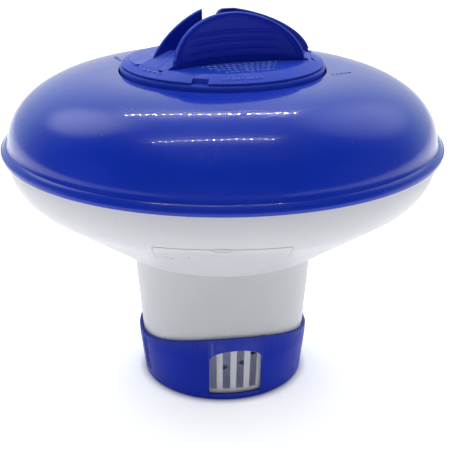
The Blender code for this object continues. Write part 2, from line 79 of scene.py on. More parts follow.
FINE_STEPS = 192           # flats round a fine turned piece
COARSE_STEPS = 96          # flats round a tool for tabs and lugs
GAP = 0.3                  # clearance between pieces, as in the CAD
WELD = 1e-6                # metres within which vertices merge
REACH = 60.0               # half the size of a shaping tool that cuts right through

# Float
FLANGE_RADIUS = SHELL_HIGH[0]
FLANGE_BOTTOM = HULL_HIGH[2] - 3.5
DOME_TOP = SHELL_HIGH[2]
DOME_RADIUS = FLANGE_RADIUS - 3.3
DOME_FOOT = FLANGE_BOTTOM + 3.1
DOME_POWER = 2.12
SHELL_WALL = 1.6
LIP_RADIUS = 47.8
LIP_ROLL = 1.0
THROAT_RADIUS = 46.8
THROAT_OUTER = 48.4
THROAT_BOTTOM = 127.3
LEDGE_TOP = SEAL_LOW[2] - GAP
LEDGE_RADIUS = 45.2
LEDGE_HEIGHT = 1.9
TAB_RADIUS = 43.1
TAB_BOTTOM = 141.0
TAB_TOP = 143.4
TAB_SPAN = 40.0
BAYONET_COUNT = 3

HULL_RADIUS = HULL_HIGH[0]
HULL_CONE_SLOPE = math.radians(34.9)
HULL_SHOULDER = 25.0
MOUTH_BOTTOM = HULL_LOW[2] + 0.3
MOUTH_OUTER = 50.8
MOUTH_RADIUS = 43.8
SOCKET_HEIGHT = 8.0
WELL_RADIUS = 46.5
WELL_WALL = 1.5

# Chamber and ring
CHAMBER_TOP = CHAMBER_HIGH[2]
CHAMBER_RIM_RADIUS = 46.0
CHAMBER_FOOT_RADIUS = 37.9
CHAMBER_FOOT = 2.0
CHAMBER_TAPER = 0.08
CHAMBER_WALL = 1.2
FLOOR_BOTTOM = 3.1
FLOOR_TOP = 4.5
STOP_TOP = 75.0
COLLAR_RADIUS = 25.6
COLLAR_INNER = 23.6
COLLAR_LIP_RADIUS = 27.4
SLOTS_PER_WINDOW = 4
SLOT_TURN = 7.6
SLOT_PITCH = 9.6
SLOT_WIDTH = 3.7
SLOT_BOTTOM = 5.6
SLOT_TOP = 30.4
VENT_COUNT = 8
VENT_RADIUS = 2.5
VENT_CIRCLE = 15.0

DOSING_TURN = 9.0
RING_RIM = RING_HIGH[2]
RING_WALL_FOOT = 39.2
RING_BAND = 20.0
RING_RIM_DIP = 10.7
WINDOW_HALF = 12.4
WINDOW_SILL = 3.7
WINDOW_SHOULDER = 22.4
WINDOW_CROWN = 5.3

# Lid
LID_TURN = 20.0
DECK_TOP = 156.9
DECK_RADIUS = 39.0
DECK_THICKNESS = 1.6
CREST_RADIUS = 39.5
CREST_TOP = 157.2
LID_RADIUS = 45.7
LID_EDGE_TOP = 154.5
LID_EDGE_BOTTOM = 154.0
GROOVE_RADIUS = 44.9
COLLAR_TOP = 153.5
LID_COLLAR_RADIUS = 46.4
LID_COLLAR_BOTTOM = SEAL_HIGH[2] + GAP
SKIRT_RADIUS = 42.6
SKIRT_WALL = 1.4
SKIRT_BOTTOM = LID_LOW[2]
LUG_RADIUS = 44.8
LUG_BOTTOM = 137.8
LUG_TOP = 140.7
LUG_SPAN = 30.0
REAR_DECK_DROP = 2.3
FIN_THICKNESS = 2.0
FIN_FOOT = 157.0
FRONT_FIN_FACE = 16.0
FRONT_FIN_BEND = 78.0
REAR_FIN_FACE = 6.0
# Each arch: apex, reach to the left and right of it, top, fullness left and right.
FRONT_ARCH = (-1.1, 28.9, 32.5, 178.8, 2.06, 1.80)
REAR_ARCH = (-8.0, 26.6, 48.1, 179.9, 1.46, 1.72)
HANDLE_FLOOR = 162.3
HANDLE_FLOOR_RADIUS = 27.8
HANDLE_WALL = 1.6
HANDLE_OPENING = 36.0
TIE_NOTCH = (-11.6, -4.8)
TIE_NOTCH_FLOOR = 167.0
TIE_NOTCH_ROUND = 3.4
TIE_NOTCH_SHOULDER = LID_HIGH[2] - 0.3
LATCH_NOTCH_WIDTH = 7.0
LATCH_NOTCH_ANGLE = -32.0
LATCH_NOTCH_DEPTH = 3.1

# Fine details that the CAD doesn't have
FIN_BEADS = ((0.32, 0.55, 0.32), (0.22, 1.65, 0.30))   # rise, place below the edge, width
FIN_EDGE_ROUND = 0.5
RIB_COUNT = 7
RIB_RISE = 0.26
RIB_BAND = (2.6, 14.4)
RIB_REACH = 21.5
MARK_RISE = 0.4
DECK_MARK_ROWS = 4
PANEL_HALF = 17.2          # degrees to each side of the hull's front
PANEL_BOTTOM = 90.0
PANEL_CORNER = 98.2
PANEL_TOP = 100.2
RIM_OUT = 2.2              # how far the ring's band stands out past its foot

pieces = bpy.data.collections.new("fine_pieces")
bpy.context.scene.collection.children.link(pieces)
tools = bpy.data.collections.new("shaping_tools")
bpy.context.scene.collection.children.link(tools)


# ---------------------------------------------------------------- shapes

def arc(centre_x, centre_z, radius, start, end, segments):
    points = []
    for index in range(segments + 1):
        angle = math.radians(start + (end - start) * index / segments)
        points.append((centre_x + radius * math.cos(angle), centre_z + radius * math.sin(angle)))
    return points


def crown(inner, outer, foot, top, segments, start=0.0, end=90.0):
    points = []
    for index in range(segments + 1):
        angle = math.radians(start + (end - start) * index / segments)
        r = inner + (outer - inner) * math.sin(angle) ** (2 / DOME_POWER)
        z = foot + (top - foot) * max(math.cos(angle), 0.0) ** (2 / DOME_POWER)
        points.append((r, z))
    return points


def rounded(points, radius, segments=4, closed=True):
    """The same outline with each corner replaced by a small arc."""
    result = []
    count = len(points)
    for index, point in enumerate(points):
        if not closed and index in (0, count - 1):
            result.append(point)
            continue
        here = Vector(point)
        before = Vector(points[index - 1]) - here
        after = Vector(points[(index + 1) % count]) - here
        reach = min(radius, before.length * 0.45, after.length * 0.45)
        start = here + before.normalized() * reach
        end = here + after.normalized() * reach
        for step in range(segments + 1):
            t = step / segments
            curve = start * (1 - t) ** 2 + here * 2 * t * (1 - t) + end * t ** 2
            result.append((curve.x, curve.y))
    return result


def turned(name, profile, closed=True, steps=FINE_STEPS, home=pieces):
    """A fine turned piece. The profile runs down its outer side."""
    count = len(profile)
    cage = bmesh.new()
    rings = []
    for x, z in profile:
        if x < 1e-6:
            rings.append([cage.verts.new((0.0, 0.0, z * MM))])
            continue
        ring = []
        for step in range(steps):
            angle = math.tau * step / steps
            place = (x * MM * math.cos(angle), x * MM * math.sin(angle), z * MM)
            ring.append(cage.verts.new(place))
        rings.append(ring)
    last = count if closed else count - 1
    for index in range(last):
        upper = rings[index]
        lower = rings[(index + 1) % count]
        for step in range(steps):
            nxt = (step + 1) % steps
            if len(upper) == 1:
                cage.faces.new((upper[0], lower[step], lower[nxt]))
            elif len(lower) == 1:
                cage.faces.new((upper[step], lower[0], upper[nxt]))
            else:
                cage.faces.new((upper[step], lower[step], lower[nxt], upper[nxt]))
    mesh = bpy.data.meshes.new(name)
    cage.to_mesh(mesh)
    cage.free()
    obj = bpy.data.objects.new(name, mesh)
    home.objects.link(obj)
    return obj


def slab(name, outlines, depth):
    """Flat outlines in XY, thickened about their plane."""
    curve = bpy.data.curves.new(name, "CURVE")
    curve.dimensions = "2D"
    curve.fill_mode = "BOTH"
    curve.extrude = depth / 2 * MM
    for outline in outlines:
        spline = curve.splines.new("POLY")
        spline.points.add(len(outline) - 1)
        for point, (x, y) in zip(spline.points, outline):
            point.co = (x * MM, y * MM, 0.0, 1.0)
        spline.use_cyclic_u = True
    source = bpy.data.objects.new(name + "_curve", curve)
    bpy.context.scene.collection.objects.link(source)
    graph = bpy.context.evaluated_depsgraph_get()
    mesh = bpy.data.meshes.new_from_object(source.evaluated_get(graph))
    bpy.data.objects.remove(source, do_unlink=True)
    bpy.data.curves.remove(curve)
    mesh.name = name
    cage = bmesh.new()
    cage.from_mesh(mesh)
    bmesh.ops.remove_doubles(cage, verts=cage.verts, dist=WELD)
    bmesh.ops.recalc_face_normals(cage, faces=cage.faces)
    cage.to_mesh(mesh)
    cage.free()
    obj = bpy.data.objects.new(name, mesh)
    tools.objects.link(obj)
    return obj


def block(name, low, high):
    mesh = bpy.data.meshes.new(name)
    size = [(b - a) * MM for a, b in zip(low, high)]
    middle = [(a + b) / 2 * MM for a, b in zip(low, high)]
    cage = bmesh.new()
    placed = Matrix.Translation(Vector(middle)) @ Matrix.Diagonal((*size, 1.0))
    bmesh.ops.create_cube(cage, size=1.0, matrix=placed)
    cage.to_mesh(mesh)
    cage.free()
    obj = bpy.data.objects.new(name, mesh)
    tools.objects.link(obj)
    return obj


def sectors(name, spread, first, low, high):
    outlines = []
    for index in range(BAYONET_COUNT):
        middle = math.radians(first + 360.0 * index / BAYONET_COUNT)
        wedge = [(0.2 * math.cos(middle), 0.2 * math.sin(middle))]
        for side in (-0.5, 0.5):
            angle = middle + side * math.radians(spread)
            wedge.append((REACH * math.cos(angle), REACH * math.sin(angle)))
        outlines.append(wedge)
    obj = slab(name, outlines, high - low)
    obj.location.z = (low + high) / 2 * MM
    return obj


def boolean(obj, tool, operation):
    step = obj.modifiers.new(operation.lower(), "BOOLEAN")
    step.operation = operation
    step.solver = "EXACT"
    step.object = tool


def settle(obj, bevel=0.0, sharp=35.0):
    """Apply the modifiers, bring the mesh to world space and shade it smooth."""
    if bevel:
        edge = obj.modifiers.new("edge", "BEVEL")
        edge.width = bevel * MM
        edge.segments = 2
        edge.limit_method = "ANGLE"
        edge.angle_limit = math.radians(40)
        edge.harden_normals = False
    bpy.context.view_layer.update()
    graph = bpy.context.evaluated_depsgraph_get()
    mesh = bpy.data.meshes.new_from_object(obj.evaluated_get(graph))
    mesh.transform(obj.matrix_world)
    obj.modifiers.clear()
    obj.data = mesh
    obj.matrix_world = Matrix.Identity(4)
    mesh.name = obj.name
    mesh.shade_smooth()
    mesh.set_sharp_from_angle(angle=math.radians(sharp))
    return obj


# ---------------------------------------------------------------- materials

def node(tree, kind, **values):
    made = tree.nodes.new(kind)
    for key, value in values.items():
        setattr(made, key, value)
    return made


def ramp(tree, source, stops):
    made = tree.nodes.new("ShaderNodeValToRGB")
    elements = made.color_ramp.elements
    while len(elements) < len(stops):
        elements.new(0.5)
    for element, (position, colour) in zip(elements, stops):
        element.position = position
        element.color = (*colour, 1.0)
    tree.links.new(source, made.inputs["Fac"])
    return made


def noise(tree, coords, scale, detail=3.0, rough=0.5):
    made = tree.nodes.new("ShaderNodeTexNoise")
    made.inputs["Scale"].default_value = scale
    made.inputs["Detail"].default_value = detail
    made.inputs["Roughness"].default_value = rough
    tree.links.new(coords, made.inputs["Vector"])
    return made


def moulded(name, colour, rough, peel=0.0004, coat=0.0, cloud=0.08, grain=900.0, scatter=0.0,
            specks=0.0, edge_highlight=0.25, level=0.5):
    """Moulded plastic: slow colour drift, orange peel, fine scuffs, and a painted highlight that
    turns convex edges paler.
    """
    mat = bpy.data.materials.new(name)
    mat.use_nodes = True
    tree = mat.node_tree
    shader = tree.nodes["Principled BSDF"]
    coords = tree.nodes.new("ShaderNodeTexCoord").outputs["Object"]

    drift = noise(tree, coords, 22.0, 2.0)
    dark = tuple(c * (1 - cloud) for c in colour)
    light = tuple(min(1.0, c * (1 + cloud) + 0.002) for c in colour)
    tone = ramp(tree, drift.outputs["Fac"], [(0.32, dark), (0.68, light)])

    # Painted highlight: convex edges, found by pointiness and broken up by noise, turn paler.
    point = tree.nodes.new("ShaderNodeNewGeometry").outputs["Pointiness"]
    edge = ramp(tree, point, [(0.515, (0.0, 0.0, 0.0)), (0.56, (1.0, 1.0, 1.0))])
    highlight_break = noise(tree, coords, 160.0, 4.0, 0.6)
    highlight_mask = node(tree, "ShaderNodeMath", operation="MULTIPLY", use_clamp=True)
    tree.links.new(edge.outputs["Color"], highlight_mask.inputs[0])
    tree.links.new(highlight_break.outputs["Fac"], highlight_mask.inputs[1])
    highlight_amount = node(tree, "ShaderNodeMath", operation="MULTIPLY")
    highlight_amount.inputs[1].default_value = edge_highlight
    tree.links.new(highlight_mask.outputs[0], highlight_amount.inputs[0])
    highlighted = node(tree, "ShaderNodeMix", data_type="RGBA")
    tree.links.new(highlight_amount.outputs[0], highlighted.inputs["Factor"])
    tree.links.new(tone.outputs["Color"], highlighted.inputs["A"])
    pale = tuple(min(1.0, c * 0.55 + 0.22) for c in colour)
    highlighted.inputs["B"].default_value = (*pale, 1.0)
    base = highlighted.outputs["Result"]

    if specks:
        dust = tree.nodes.new("ShaderNodeTexVoronoi")
        dust.inputs["Scale"].default_value = 115.0
        tree.links.new(coords, dust.inputs["Vector"])
        dot = ramp(tree, dust.outputs["Distance"],
                   [(0.025, (1.0, 1.0, 1.0)), (0.045, (0.0, 0.0, 0.0))])
        rare = noise(tree, coords, 31.0, 1.0)
        some = ramp(tree, rare.outputs["Fac"], [(0.60, (0.0, 0.0, 0.0)), (0.63, (1.0, 1.0, 1.0))])
        both = node(tree, "ShaderNodeMath", operation="MULTIPLY")
        tree.links.new(dot.outputs["Color"], both.inputs[0])
        tree.links.new(some.outputs["Color"], both.inputs[1])
        amount = node(tree, "ShaderNodeMath", operation="MULTIPLY")
        amount.inputs[1].default_value = specks
        tree.links.new(both.outputs[0], amount.inputs[0])
        dusty = node(tree, "ShaderNodeMix", data_type="RGBA")
        tree.links.new(amount.outputs[0], dusty.inputs["Factor"])
        tree.links.new(base, dusty.inputs["A"])
        dusty.inputs["B"].default_value = (0.62, 0.66, 0.78, 1.0)
        base = dusty.outputs["Result"]
    tree.links.new(base, shader.inputs["Base Color"])

    scuff = noise(tree, coords, 260.0, 5.0, 0.65)
    haze = noise(tree, coords, 34.0, 2.0)
    both_rough = node(tree, "ShaderNodeMath", operation="MULTIPLY")
    tree.links.new(scuff.outputs["Fac"], both_rough.inputs[0])
    tree.links.new(haze.outputs["Fac"], both_rough.inputs[1])
    spread = node(tree, "ShaderNodeMapRange")
    spread.inputs["From Min"].default_value = 0.10
    spread.inputs["From Max"].default_value = 0.45
    spread.inputs["To Min"].default_value = rough * 0.78
    spread.inputs["To Max"].default_value = rough * 1.35
    tree.links.new(both_rough.outputs[0], spread.inputs["Value"])
    tree.links.new(spread.outputs["Result"], shader.inputs["Roughness"])

    wave = noise(tree, coords, 70.0, 2.0)
    fine = noise(tree, coords, grain, 3.0)
    wavy = node(tree, "ShaderNodeBump")
    wavy.inputs["Strength"].default_value = 0.5
    wavy.inputs["Distance"].default_value = peel
    tree.links.new(wave.outputs["Fac"], wavy.inputs["Height"])
    peeled = node(tree, "ShaderNodeBump")
    peeled.inputs["Strength"].default_value = 0.35
    peeled.inputs["Distance"].default_value = peel * 0.12
    tree.links.new(fine.outputs["Fac"], peeled.inputs["Height"])
    tree.links.new(wavy.outputs["Normal"], peeled.inputs["Normal"])
    tree.links.new(peeled.outputs["Normal"], shader.inputs["Normal"])

    shader.inputs["IOR"].default_value = 1.49
    shader.inputs["Specular IOR Level"].default_value = level
    if coat:
        shader.inputs["Coat Weight"].default_value = coat
        shader.inputs["Coat Roughness"].default_value = 0.035
        shader.inputs["Coat IOR"].default_value = 1.42
    if scatter:
        shader.inputs["Subsurface Weight"].default_value = scatter
        shader.inputs["Subsurface Radius"].default_value = (0.006, 0.0055, 0.006)
        shader.inputs["Subsurface Scale"].default_value = 1.0
    return mat


def dress(obj, mat, body, slot_name, *replaced):
    obj.data.materials.clear()
    obj.data.materials.append(mat)
    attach(obj, body)
    if replaced:
        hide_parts(*replaced)
    return obj


blue_gloss = moulded("blue_gloss", (0.004, 0.028, 0.42), 0.22, peel=0.00004, coat=0.6, specks=0.3,
                     edge_highlight=0.0, cloud=0.06, level=0.22)
blue_lid = moulded("blue_lid", (0.014, 0.050, 0.50), 0.34, peel=0.0001, specks=0.1,
                   edge_highlight=0.30, level=0.22)
# The fins take a darker copy of the lid's blue: painted shade on the fins' faces.
blue_fin_painted_shade = moulded("blue_fin_painted_shade", (0.005, 0.020, 0.36), 0.30, peel=0.0001, edge_highlight=0.8, level=0.14)
# The fin rims take a paler copy of the lid's blue: a painted highlight along the rounded rims.
blue_rim_painted_highlight = moulded("blue_rim_painted_highlight", (0.020, 0.070, 0.55), 0.28, peel=0.0001, edge_highlight=0.1, level=0.4)
# The lid's marks take a paler copy of the lid's blue: painted glints on the raised marks.
blue_marks_painted_glint = moulded("blue_marks_painted_glint", (0.060, 0.140, 0.64), 0.30, peel=0.0001, edge_highlight=0.3,
                     level=0.5)
blue_satin = moulded("blue_satin", (0.003, 0.020, 0.36), 0.34, peel=0.0001, edge_highlight=0.45,
                     level=0.08)
white_hull = moulded("white_hull", (0.56, 0.555, 0.58), 0.34, peel=0.0001, cloud=0.015,
                     edge_highlight=0.0)
white_chamber = moulded("white_chamber", (0.60, 0.59, 0.615), 0.40, peel=0.0001, cloud=0.02,
                        edge_highlight=0.0, scatter=1.0)
seal_rubber = moulded("seal_rubber", (0.02, 0.02, 0.022), 0.6, peel=0.0002, cloud=0.2)


# ---------------------------------------------------------------- float

def flange_profile():
    """From the dome's foot out over the stepped flange to its underside."""
    top = FLANGE_BOTTOM + 4.6
    return [
        (DOME_RADIUS + 0.1, top),
        (DOME_RADIUS + 0.45, top - 0.7),
        (DOME_RADIUS + 1.1, top - 1.05),
        (FLANGE_RADIUS - 1.3, FLANGE_BOTTOM + 2.7),
        (FLANGE_RADIUS - 0.75, FLANGE_BOTTOM + 2.05),
        (FLANGE_RADIUS - 0.45, FLANGE_BOTTOM + 2.0),
        (FLANGE_RADIUS - 0.1, FLANGE_BOTTOM + 1.7),
        (FLANGE_RADIUS, FLANGE_BOTTOM + 1.3),
        (FLANGE_RADIUS, FLANGE_BOTTOM + 0.45),
        (FLANGE_RADIUS - 0.12, FLANGE_BOTTOM + 0.12),
        (FLANGE_RADIUS - 0.45, FLANGE_BOTTOM),
    ]


def build_upper_shell():
    outer = crown(LIP_RADIUS, DOME_RADIUS, DOME_FOOT, DOME_TOP, 56, end=85.0)
    inner_foot = DOME_RADIUS - SHELL_WALL
    inner = crown(THROAT_OUTER, inner_foot, DOME_FOOT, DOME_TOP - SHELL_WALL, 20, start=6.0)
    inner.append((inner_foot, FLANGE_BOTTOM))
    throat = [
        (THROAT_OUTER, DOME_TOP - SHELL_WALL - 0.6),
        (THROAT_OUTER, THROAT_BOTTOM),
        (THROAT_RADIUS, THROAT_BOTTOM),
        (THROAT_RADIUS, LEDGE_TOP - LEDGE_HEIGHT),
        (LEDGE_RADIUS + 0.2, LEDGE_TOP - LEDGE_HEIGHT + 0.4),
        (LEDGE_RADIUS, LEDGE_TOP - LEDGE_HEIGHT + 0.7),
        (LEDGE_RADIUS, LEDGE_TOP - 0.2),
        (LEDGE_RADIUS + 0.2, LEDGE_TOP),
        (THROAT_RADIUS, LEDGE_TOP),
    ]
    lip = arc(LIP_RADIUS, DOME_TOP - LIP_ROLL, LIP_ROLL, 180.0, 96.0, 8)
    profile = outer + flange_profile() + inner[::-1] + throat + lip
    shell = turned("dome_shell", profile)

    tab_outer = THROAT_RADIUS + 0.8
    tabs = turned("tabs", [
        (TAB_RADIUS, TAB_TOP), (tab_outer, TAB_TOP),
        (tab_outer, TAB_BOTTOM), (TAB_RADIUS, TAB_BOTTOM),
    ], steps=COARSE_STEPS, home=tools)
    wedges = sectors("tab_wedges", TAB_SPAN, LID_TURN, TAB_BOTTOM - 1, TAB_TOP + 1)
    boolean(tabs, wedges, "INTERSECT")
    boolean(shell, tabs, "UNION")
    settle(shell, sharp=30.0)
    return dress(shell, blue_gloss, "float", "float_blue", "upper_shell")


def build_lower_hull():
    slope = HULL_CONE_SLOPE
    corner_z = MOUTH_BOTTOM + (HULL_RADIUS - MOUTH_OUTER) * math.tan(slope)
    tangent = HULL_SHOULDER * math.tan((math.pi / 2 - slope) / 2)
    shoulder_x = HULL_RADIUS - HULL_SHOULDER
    shoulder_z = corner_z + tangent
    lowest = math.degrees(slope) - 90.0
    outer = arc(shoulder_x, shoulder_z, HULL_SHOULDER, 0.0, lowest, 24)
    inner = arc(shoulder_x, shoulder_z, HULL_SHOULDER - SHELL_WALL, 0.0, lowest, 12)
    spigot_outer = DOME_RADIUS - SHELL_WALL - GAP
    spigot_inner = spigot_outer - SHELL_WALL
    seat = FLANGE_BOTTOM - GAP
    socket_inner = WELL_RADIUS + WELL_WALL + GAP
    socket_outer = socket_inner + WELL_WALL
    socket_foot = MOUTH_BOTTOM + 2.0
    cone_foot = socket_foot + 0.6
    inner_cone = arc(shoulder_x, shoulder_z, HULL_SHOULDER - SHELL_WALL, lowest, lowest, 1)[0]
    cone_foot_r = inner_cone[0] - (inner_cone[1] - cone_foot) / math.tan(slope)
    mouth = rounded([
        outer[-1],
        (MOUTH_OUTER, MOUTH_BOTTOM),
        (MOUTH_OUTER - 1.0, HULL_LOW[2]),
        (MOUTH_RADIUS, HULL_LOW[2]),
        (MOUTH_RADIUS, socket_foot),
        (socket_inner, socket_foot),
    ], 0.5, 4, closed=False)
    profile = [
        (spigot_outer, HULL_HIGH[2]),
        (spigot_outer, seat),
        (HULL_RADIUS - 0.2, seat),
        (HULL_RADIUS, seat - 0.2),
        *outer[:-1],
        *mouth,
        (socket_inner, socket_foot + SOCKET_HEIGHT),
        (socket_outer, socket_foot + SOCKET_HEIGHT),
        (socket_outer, cone_foot),
        (max(cone_foot_r, socket_outer + 0.8), cone_foot),
        *inner[1:][::-1],
        (spigot_inner, seat - 2.0),
        (spigot_inner, HULL_HIGH[2]),
    ]
    hull = turned("hull_shell", profile)
    settle(hull, sharp=30.0)
    return dress(hull, white_hull, "float", "hull_white", "lower_hull")


def build_well():
    step = THROAT_BOTTOM - GAP
    socket_inner = THROAT_OUTER + GAP
    socket_outer = socket_inner + WELL_WALL
    outer = WELL_RADIUS + WELL_WALL
    well = turned("well_tube", rounded([
        (socket_inner, WELL_HIGH[2]),
        (socket_outer, WELL_HIGH[2]),
        (socket_outer, step - 1.0),
        (outer, step - 3.2),
        (outer, WELL_LOW[2]),
        (WELL_RADIUS, WELL_LOW[2]),
        (WELL_RADIUS, step),
        (socket_inner, step),
    ], 0.3, 3))
    settle(well)
    return dress(well, white_chamber, "float", "well_white", "inner_well")


# ---------------------------------------------------------------- chamber and ring

def chamber_radius(z):
    return CHAMBER_FOOT_RADIUS + CHAMBER_TAPER * (z - CHAMBER_FOOT)


def build_chamber():
    stop_bottom = MOUTH_BOTTOM + 2.0 + GAP + 0.1
    rim_bottom = CHAMBER_TOP - 2.0
    lip_top = FLOOR_BOTTOM - 1.8
    lip_bottom = CHAMBER_LOW[2]
    chamber = turned("chamber_cup", rounded([
        (0.0, FLOOR_TOP),
        (chamber_radius(FLOOR_TOP) - CHAMBER_WALL, FLOOR_TOP),
        (chamber_radius(CHAMBER_TOP) - CHAMBER_WALL, CHAMBER_TOP),
        (CHAMBER_RIM_RADIUS, CHAMBER_TOP),
        (CHAMBER_RIM_RADIUS, rim_bottom),
        (chamber_radius(rim_bottom), rim_bottom - 0.9),
        (chamber_radius(STOP_TOP), STOP_TOP + 0.9),
        (CHAMBER_RIM_RADIUS, STOP_TOP),
        (CHAMBER_RIM_RADIUS, stop_bottom),
        (chamber_radius(stop_bottom), stop_bottom),
        (chamber_radius(FLOOR_BOTTOM), FLOOR_BOTTOM),
        (COLLAR_RADIUS, FLOOR_BOTTOM),
        (COLLAR_RADIUS, lip_top),
        (COLLAR_LIP_RADIUS, lip_top),
        (COLLAR_LIP_RADIUS, lip_bottom),
        (COLLAR_INNER, lip_bottom),
        (COLLAR_INNER, FLOOR_BOTTOM),
        (0.0, FLOOR_BOTTOM),
    ], 0.5, 3, closed=False), closed=False)
    for index in range(SLOTS_PER_WINDOW):
        angle = (index - (SLOTS_PER_WINDOW - 1) / 2) * SLOT_PITCH
        half = SLOT_WIDTH / 2
        slot = block(f"slot_{index}", (-half, -REACH, SLOT_BOTTOM), (half, REACH, SLOT_TOP))
        slot.rotation_euler.z = math.radians(SLOT_TURN + angle)
        boolean(chamber, slot, "DIFFERENCE")
    circles = []
    for index in range(VENT_COUNT):
        angle = math.tau * index / VENT_COUNT
        x = VENT_CIRCLE * math.cos(angle)
        y = VENT_CIRCLE * math.sin(angle)
        circles.append([(x + px, y + py) for px, py in arc(0.0, 0.0, VENT_RADIUS, 0.0, 345.0, 23)])
    boolean(chamber, slab("vents", circles, 20.0), "DIFFERENCE")
    settle(chamber, sharp=30.0)
    return dress(chamber, white_chamber, "chamber", "chamber_white", "tablet_chamber")


def build_ring():
    running = GAP + 0.05
    floor_bottom = FLOOR_BOTTOM - 1.5
    floor_top = FLOOR_BOTTOM - GAP
    blank_top = RING_RIM + 1.0
    inner_top = chamber_radius(blank_top) + running
    inner_foot = chamber_radius(floor_top) + running
    ring = turned("dosing_sleeve", rounded([
        (inner_top, blank_top),
        (inner_top + 1.0, blank_top),
        (RING_WALL_FOOT + RIM_OUT, RING_BAND),
        (RING_WALL_FOOT, 0.9),
        (RING_WALL_FOOT - 0.9, 0.0),
        (RING_WALL_FOOT - 3.6, 0.0),
        (RING_WALL_FOOT - 3.6, floor_bottom),
        (COLLAR_RADIUS + 0.4, floor_bottom),
        (COLLAR_RADIUS + 0.4, floor_top),
        (inner_foot, floor_top),
    ], 0.6, 4))
    reach = RING_WALL_FOOT + 6.0
    segments = 48
    saddle = [(reach, RING_RIM + 12.0), (-reach, RING_RIM + 12.0)]
    for index in range(segments + 1):
        x = -reach + 2 * reach * index / segments
        saddle.append((x, RING_RIM - RING_RIM_DIP * (x / (RING_WALL_FOOT + 2.3)) ** 2))
    window = [(-WINDOW_HALF, WINDOW_SILL), (WINDOW_HALF, WINDOW_SILL)]
    for index in range(33):
        angle = math.pi * index / 32
        crest = WINDOW_SHOULDER + WINDOW_CROWN * math.sin(angle)
        window.append((WINDOW_HALF * math.cos(angle), crest))
    for name, outline in (("saddle", saddle), ("windows", window)):
        tool = slab(name, [outline], 2 * REACH)
        tool.rotation_euler = (math.pi / 2, 0.0, math.radians(DOSING_TURN))
        boolean(ring, tool, "DIFFERENCE")
    settle(ring, bevel=0.18, sharp=30.0)
    return dress(ring, blue_satin, "ring", "ring_blue", "dosing_ring")


# ---------------------------------------------------------------- lid

def front_line(behind, reach):
    """The front fin's curve from above, left to right, so far behind its front face."""
    radius = FRONT_FIN_BEND + behind
    half = math.asin(reach / radius)
    line = []
    for index in range(49):
        angle = -half + 2 * half * index / 48
        back = radius * math.cos(angle) - FRONT_FIN_FACE - FRONT_FIN_BEND
        line.append((radius * math.sin(angle), back))
    return line


def rear_line(behind, reach):
    return [(reach, behind - REAR_FIN_FACE), (-reach, behind - REAR_FIN_FACE)]


def sideways(name, outline):
    """An outline seen from the lid's side, its X towards the lid's rear."""
    tool = slab(name, [outline], 2 * REACH)
    tool.rotation_euler = (math.pi / 2, 0.0, math.pi / 2 + math.radians(LID_TURN))
    return tool


def column(name, outline, low, high):
    tool = slab(name, [outline], high - low)
    tool.location.z = (low + high) / 2 * MM
    tool.rotation_euler.z = math.radians(LID_TURN)
    return tool


def slope_rear_deck(lid):
    start = FIN_THICKNESS / 2 - REAR_FIN_FACE
    fall = REAR_DECK_DROP / (LID_RADIUS - start)
    end = start + REACH
    end_top = DECK_TOP - fall * REACH
    plate = sideways("rear_deck", [
        (start, DECK_TOP),
        (end, end_top),
        (end, end_top - DECK_THICKNESS),
        (start, DECK_TOP - DECK_THICKNESS),
    ])
    disc = turned("rear_deck_disc", [
        (0.0, CREST_TOP),
        (SKIRT_RADIUS - 0.6, CREST_TOP),
        (SKIRT_RADIUS - 0.6, SKIRT_BOTTOM),
        (0.0, SKIRT_BOTTOM),
    ], closed=False, home=tools)
    disc.rotation_euler.z = math.radians(LID_TURN + 180.0 / FINE_STEPS)
    boolean(plate, disc, "INTERSECT")
    boolean(lid, plate, "UNION")
    above = sideways("above_rear_deck", [
        (start, CREST_TOP + 5.0),
        (end, CREST_TOP + 5.0),
        (end, end_top),
        (start, DECK_TOP),
    ])
    boolean(lid, above, "DIFFERENCE")


def build_handle_floor():
    end = CREST_RADIUS + 0.7
    end_top = CREST_TOP - 0.4
    floor = turned("handle_floor", [
        (0.0, HANDLE_FLOOR),
        *arc(HANDLE_FLOOR_RADIUS - 1.0, HANDLE_FLOOR - 2.5, 2.5, 90.0, 66.0, 5),
        (end, end_top),
        (end, end_top - HANDLE_WALL),
        (HANDLE_FLOOR_RADIUS - 0.4, HANDLE_FLOOR - HANDLE_WALL),
        (0.0, HANDLE_FLOOR - HANDLE_WALL),
    ], closed=False, home=tools)
    floor.rotation_euler.z = math.radians(LID_TURN)
    middle = FIN_THICKNESS / 2
    plan = front_line(middle, LID_RADIUS) + rear_line(middle, LID_RADIUS)
    low = DECK_TOP - DECK_THICKNESS
    boolean(floor, column("handle_plan", plan, low, HANDLE_FLOOR + 1.0), "INTERSECT")
    return floor


